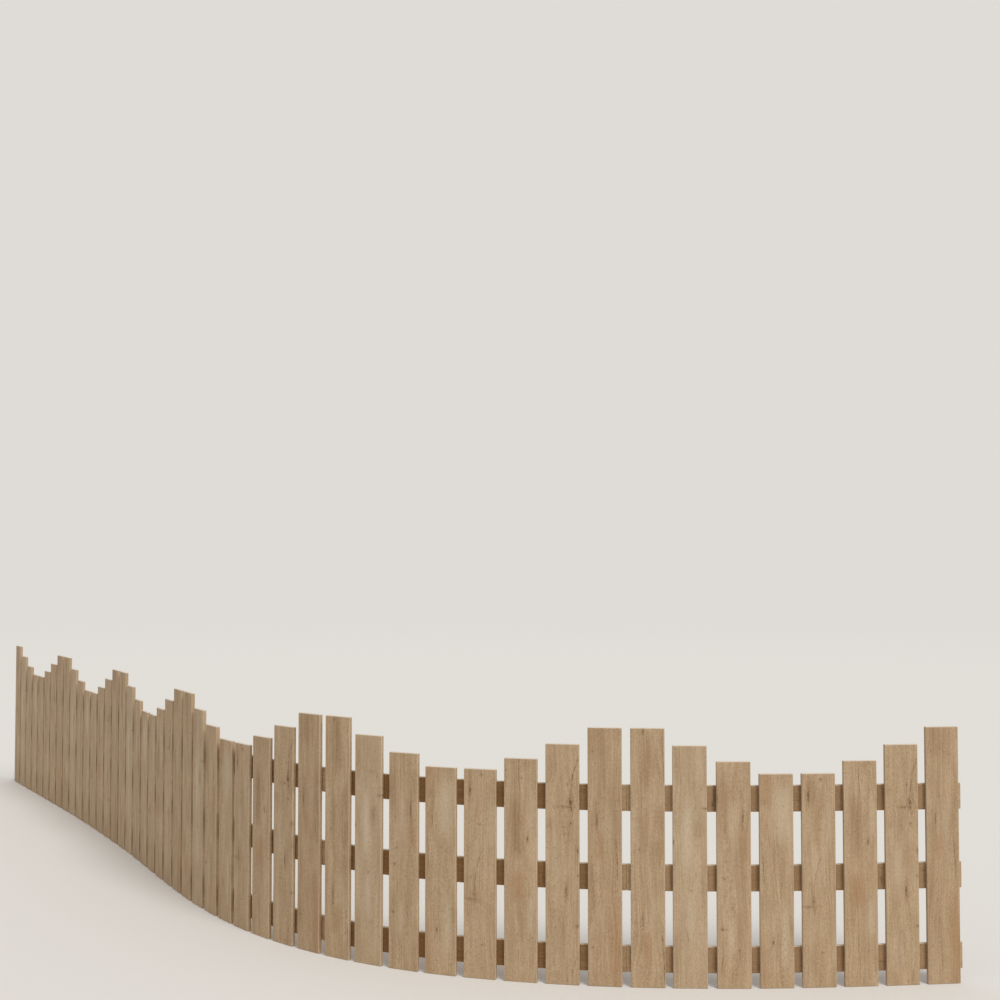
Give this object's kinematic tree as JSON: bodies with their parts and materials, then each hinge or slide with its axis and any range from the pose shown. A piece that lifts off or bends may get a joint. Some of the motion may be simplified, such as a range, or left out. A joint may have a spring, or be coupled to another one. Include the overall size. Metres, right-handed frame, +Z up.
{
  "type": "curved picket fence",
  "caption": "Low garden fence of flat oak boards in stepped scallop bays on bent horizontal rails, following a curved line, to border a bed or lawn.",
  "frame": {"origin": "centre of the foot of the first picket of bay 4, just right of the middle joint of the run, on the ground", "axes": "+X from the left end of the run to its right end as seen from the front, +Y to the back where the rails are, +Z up"},
  "size_m": [6.5438, 1.3214, 0.9],
  "materials": {
    "picket_oak": "planed, unpainted",
    "rail_oak": "planed, unpainted, darker"
  },
  "bodies": {
    "root": {"bay_1_pickets": "picket_oak", "bay_1_top_rail": "rail_oak", "bay_1_middle_rail": "rail_oak", "bay_1_bottom_rail": "rail_oak", "bay_2_pickets": "picket_oak", "bay_2_top_rail": "rail_oak", "bay_2_middle_rail": "rail_oak", "bay_2_bottom_rail": "rail_oak", "bay_3_pickets": "picket_oak", "bay_3_top_rail": "rail_oak", "bay_3_middle_rail": "rail_oak", "bay_3_bottom_rail": "rail_oak", "bay_4_pickets": "picket_oak", "bay_4_top_rail": "rail_oak", "bay_4_middle_rail": "rail_oak", "bay_4_bottom_rail": "rail_oak", "bay_5_pickets": "picket_oak", "bay_5_top_rail": "rail_oak", "bay_5_middle_rail": "rail_oak", "bay_5_bottom_rail": "rail_oak", "bay_6_pickets": "picket_oak", "bay_6_top_rail": "rail_oak", "bay_6_middle_rail": "rail_oak", "bay_6_bottom_rail": "rail_oak"}
  },
  "joints": []
}
